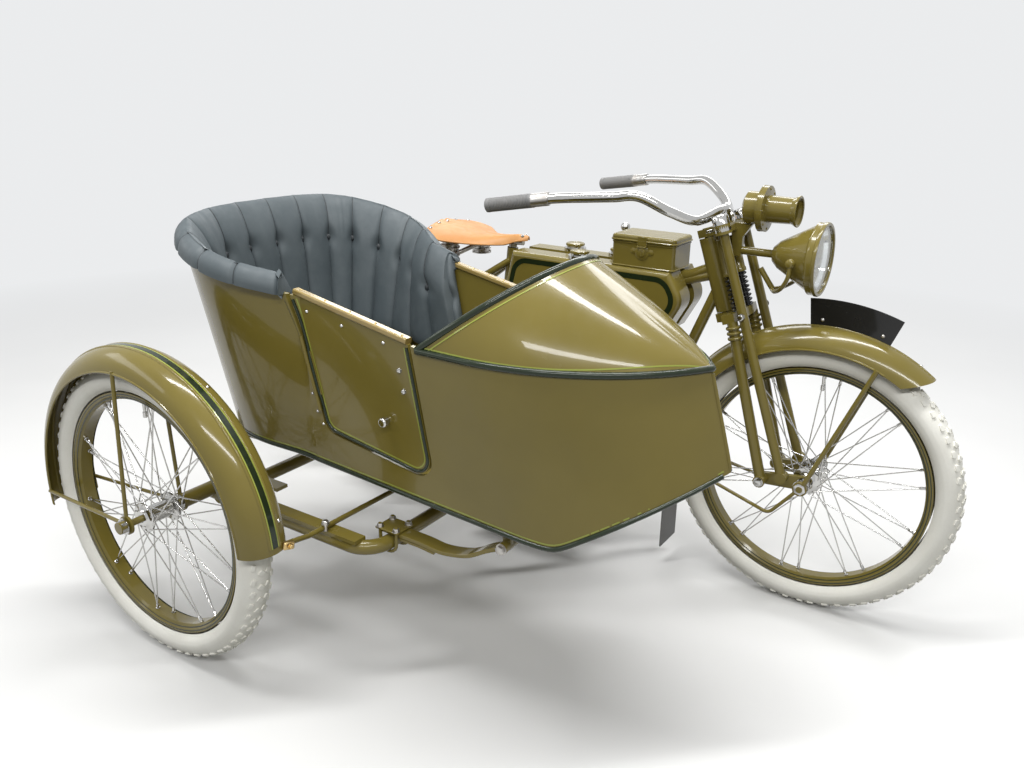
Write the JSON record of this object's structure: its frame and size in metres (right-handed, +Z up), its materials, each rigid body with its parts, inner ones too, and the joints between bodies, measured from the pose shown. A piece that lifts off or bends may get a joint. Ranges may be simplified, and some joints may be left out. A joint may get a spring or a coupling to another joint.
{
  "type": "sidecar motorcycle",
  "caption": "Early motorcycle with a finned vee engine, spring fork, wire wheels and slab tank, joined on its right to a boat-nosed sidecar with a side door and a tufted tub seat.",
  "frame": {"origin": "on the ground under the middle of the whole machine", "axes": "+X forward, +Y to the rider's left, +Z up; the sidecar is on the right, at -Y"},
  "size_m": [2.2795, 1.4888, 1.067],
  "materials": {
    "olive": "gloss olive enamel",
    "olive_body": "gloss olive enamel",
    "green_trim": "dark green enamel with a yellow-green line",
    "tyre": "off-white rubber",
    "rim": "gloss olive enamel",
    "nickel": "polished nickel plate",
    "steel": "worn bright steel",
    "iron": "dark cast iron",
    "alloy": "sand-cast aluminium",
    "brass": "satin brass",
    "black": "satin black enamel",
    "grip": "dark ribbed rubber",
    "flap": "grey rubber sheet",
    "tan_leather": "waxed tan leather",
    "black_leather": "gloss black leather",
    "golden": "varnished golden wood",
    "glass": "clear glass"
  },
  "bodies": {
    "chassis": {"car_body": "olive_body", "car_cowl": "olive_body", "car_springs": "olive", "car_trim": "green_trim", "chassis": "olive", "crankcase": "alloy", "drive_chain": "steel", "exhaust": "steel", "far_rail": "golden", "footboards": "black", "frame": "olive", "front_cylinder": "iron", "fuel_tank": "olive", "gearbox": "alloy", "intake": "brass", "primary_cover": "olive", "rear_cylinder": "iron", "rear_guard": "olive", "saddle": "tan_leather", "saddle_post": "steel", "seat_back": "black_leather", "seat_box": "golden", "seat_cushion": "black_leather", "side_guard": "olive", "tank_fittings": "nickel", "toolbox": "olive"},
    "steering": {"fork": "olive", "spring_fork": "olive", "handlebar": "nickel", "grips": "grip", "headlamp": "olive", "lamp_lens": "glass", "horn": "olive", "front_guard": "olive", "mud_flap": "flap", "number_plate": "black"},
    "front_wheel": {"front_tyre": "tyre", "front_rim": "rim", "front_spokes": "nickel"},
    "rear_wheel": {"rear_tyre": "tyre", "rear_rim": "rim", "rear_spokes": "nickel", "rear_drum": "olive", "rear_sprocket": "steel"},
    "side_wheel": {"side_tyre": "tyre", "side_rim": "rim", "side_spokes": "nickel"},
    "door": {"door": "olive_body", "door_rail": "golden", "door_knob": "nickel"},
    "toolbox_lid": {"toolbox_lid": "olive"},
    "rear_stand": {"rear_stand": "olive"}
  },
  "joints": [
    {"name": "steering_turn", "type": "hinge", "parent": "chassis", "child": "steering", "pos_m": [0.461, 0.42, 0.93], "axis": [-0.3338, 0, 0.9426], "range_deg": [-35, 35]},
    {"name": "front_wheel_turn", "type": "hinge", "parent": "steering", "child": "front_wheel", "pos_m": [0.784, 0.42, 0.3556], "axis": [0, 1, 0], "continuous": true},
    {"name": "rear_wheel_turn", "type": "hinge", "parent": "chassis", "child": "rear_wheel", "pos_m": [-0.727, 0.42, 0.3556], "axis": [0, 1, 0], "continuous": true},
    {"name": "side_wheel_turn", "type": "hinge", "parent": "chassis", "child": "side_wheel", "pos_m": [-0.39, -0.644, 0.3556], "axis": [0, 1, 0], "continuous": true},
    {"name": "door_swing", "type": "hinge", "parent": "chassis", "child": "door", "pos_m": [-0.09083, -0.43221, 0.68965], "axis": [0.2145, 0.0556, -0.9751], "range_deg": [0, 60]},
    {"name": "lid_lift", "type": "hinge", "parent": "chassis", "child": "toolbox_lid", "pos_m": [0.3115, 0.4665, 0.9086], "axis": [-1, 0, 0], "range_deg": [0, 100]},
    {"name": "stand_swing", "type": "hinge", "parent": "chassis", "child": "rear_stand", "pos_m": [-0.727, 0.42, 0.3556], "axis": [0, -1, 0], "range_deg": [0, 95]}
  ]
}
